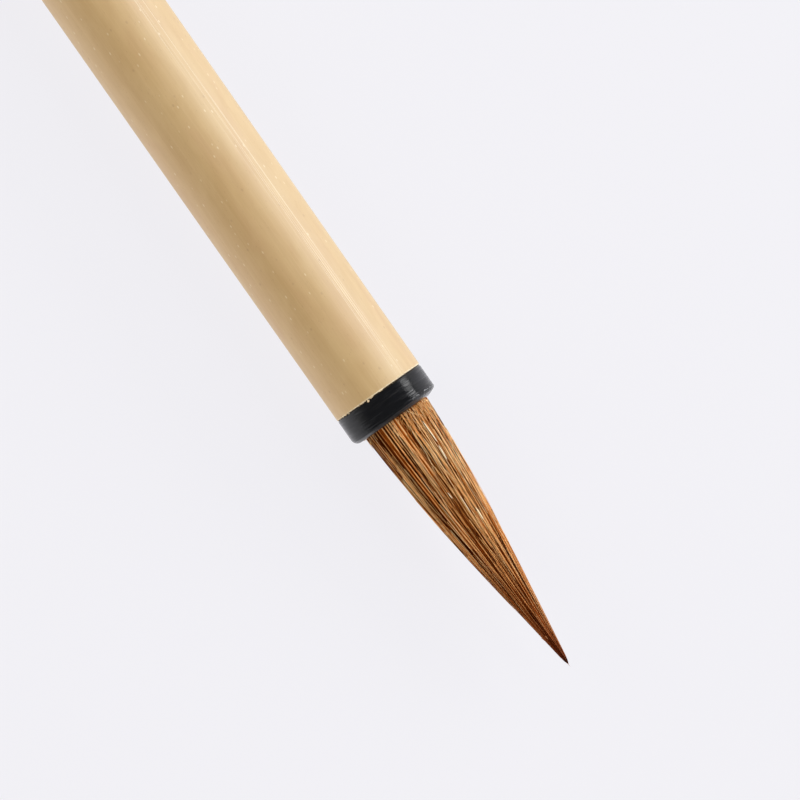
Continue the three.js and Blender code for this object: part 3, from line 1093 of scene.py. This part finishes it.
def add_stray_hairs():
    """Single hairs that lie across the others, short fuzz where the hair leaves the ring, and a
    few hairs painted near white as glints.
    """
    rng = np.random.default_rng(SEED + 30)
    # Each kind: count, angles in degrees, start and length in mm, sideways drift in radians,
    # lift in mm, and tones.
    kinds = [
        (30, (-180, 180), (0, 16), (5, 13), 0.13, 0.04, (0.62, 0.95)),
        (18, (-75, 75), (0, 6), (4, 12), 0.16, 0.04, (0.8, 1.0)),
        (80, (-85, 85), (1, 19), (5, 13), 0.06, 0.03, (0.6, 1.0)),
        (50, (-85, 85), (0, 19), (5, 13), 0.05, 0.03, (0.0, 0.05)),
        (60, (4, 70), (-0.4, 1.5), (0.8, 2.6), 0.2, 0.10, (0.4, 1.0)),
        (30, (-180, 180), (-0.4, 0.3), (0.6, 2.0), 0.12, 0.08, (0.5, 0.95)),
    ]
    bare_tip = 2 * MM
    share = np.linspace(0, 1, 9)
    centres, radii, tones = [], [], []
    for count, angles, starts, lengths, drift, lift, tone in kinds:
        for _ in range(count):
            start = RING_FRONT + rng.uniform(*starts) * MM
            x = start + rng.uniform(*lengths) * MM * share
            x = np.minimum(x, TIP - bare_tip)
            turn = math.radians(rng.uniform(*angles)) + rng.normal(0, drift) * share
            turn = turn + 0.04 * np.sin(share * rng.uniform(2, 6) + rng.uniform(0, 6))
            height = abs(rng.normal(0, lift)) * MM
            rise = height * np.sin(math.pi * share * rng.uniform(0.5, 1)) ** 2
            thick = rng.uniform(0.026, 0.045) * MM
            centres.append(round_place(x, envelope(x) + rise - 0.2 * thick, turn))
            radii.append(thick * (1 - 0.6 * share))
            tones.append(rng.uniform(*tone))
    # A few fine hairs that carry the point on.
    for _ in range(5):
        x = TIP + (-4 + (4 + rng.uniform(0.05, 0.4)) * share) * MM
        turn = rng.uniform(0, 2 * math.pi) + 0 * share
        radius = np.maximum(envelope(x) * (1 - 0.7 * share), 0.01 * MM)
        centres.append(round_place(x, radius, turn))
        radii.append(0.045 * MM * (1 - 0.5 * share))
        tones.append(rng.uniform(0.7, 1.0))
    colours = {
        "dark": (0.06, 0.011, 0.001),
        "middle": (0.60, 0.22, 0.04),
        "light": (0.98, 0.58, 0.24),
        "tip": (0.50, 0.26, 0.19),
    }
    material = hair("stray_hairs", **colours, ior=1.18)
    centres, radii = np.array(centres), np.array(radii)
    piece = strand_tubes("stray_hairs", centres, radii, tones, 5, material)
    bend_with_tuft(piece, "cover_hair_root", "cover_hair_tip")

    # Hairs painted near white as glints of the key light, mostly on the side towards +Y: start
    # and end in mm from the ring, first and last angle in degrees, and half thickness in mm.
    glints = [
        (1.9, 4.7, 32.5, 34.5, 0.068),
        (5.0, 6.8, 32.5, 32, 0.08),
        (10.7, 12.9, 15, 14.5, 0.045),
        (12.7, 14.3, 30, 30.5, 0.075),
        (9.7, 10.5, -1, 0, 0.06),
    ]
    glint_lift = 0.05 * MM
    centres, radii = [], []
    for start, end, first, last, thick in glints:
        x = RING_FRONT + (start + (end - start) * share) * MM
        turn = np.radians(first + (last - first) * share)
        centres.append(round_place(x, envelope(x) + glint_lift, turn))
        radii.append(thick * MM * (0.35 + 0.65 * np.sin(math.pi * share) ** 0.5))
    pale = (1.0, 0.90, 0.66)
    # Their near-white colour is a painted highlight.
    material = hair("painted_glint_hairs", (0.8, 0.65, 0.45), pale, pale, (0.9, 0.8, 0.7), ior=1.7)
    tones = np.full(len(glints), 0.6)
    piece = strand_tubes("painted_glint_hairs", np.array(centres), np.array(radii), tones, 6, material)
    bend_with_tuft(piece, "cover_hair_root", "cover_hair_tip")


def add_core_and_padding():
    """The core bundle, and the two rings of short hair round its root."""
    material = hair(
        "core_hair", dark=(0.04, 0.012, 0.004), middle=(0.16, 0.055, 0.02),
        light=(0.3, 0.13, 0.05), tip=(0.5, 0.3, 0.26), root_gain=0.8,
    )

    def core_radius(x):
        spread = np.clip((x - waist_high.x) / (BEND - waist_high.x), 0, 1)
        wanted = CORE_RADIUS * (1 + 0.06 * spread)
        return min(wanted, float(cover_bore(x)) - LAYER_GAP)

    piece = hair_mass("core_hair_bundle", None, core_radius, HAIR_BACK, TIP - 5.4 * MM,
                      material, SEED + 22, ridges=0.04 * MM)
    bend_with_tuft(piece, "core_hair_root", "core_hair_tip")

    padding = hair(
        "padding_hair", dark=(0.12, 0.07, 0.03), middle=(0.3, 0.19, 0.09),
        light=(0.5, 0.36, 0.2), tip=(0.5, 0.4, 0.3),
    )

    def waist_outside(x):
        forward = np.clip((x - RING_FRONT) / (waist_high.x - RING_FRONT), 0, 1)
        return WAIST_RADIUS + (WAIST_END_RADIUS - WAIST_RADIUS) * forward

    def belly_inside(x):
        past = np.clip((x - waist_high.x) / (belly_high.x - waist_high.x), 0, 1)
        return waist_outside(x) + LAYER_GAP - (WAIST_END_RADIUS - CORE_RADIUS) * past * 0.8

    piece = hair_mass("waist_hair_ring", lambda x: CORE_RADIUS + LAYER_GAP, waist_outside,
                      HAIR_BACK, waist_high.x, padding, SEED + 23, ridges=0.03 * MM)
    bend_with_tuft(piece, "waist_hair")
    piece = hair_mass("belly_hair_ring", belly_inside, lambda x: cover_bore(x) - LAYER_GAP,
                      HAIR_BACK, belly_high.x, padding, SEED + 24, ridges=0.03 * MM)
    bend_with_tuft(piece, "belly_hair")


def add_inner_fixings():
    """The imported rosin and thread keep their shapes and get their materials."""
    nodes = frame["nodes"]
    for name, material in (("rosin_seal", amber_rosin()), ("binding_thread", twisted_cotton())):
        nodes[name].data.materials.clear()
        nodes[name].data.materials.append(material)


add_camera()
add_world()
add_floor()
for softbox in SOFTBOXES:
    add_softbox(*softbox)
bpy.context.scene.view_settings.view_transform = "Standard"

add_bamboo_tube()
add_ferrule()
add_glue()
add_tail_cap()
add_cover_hair()
add_stray_hairs()
add_core_and_padding()
add_inner_fixings()
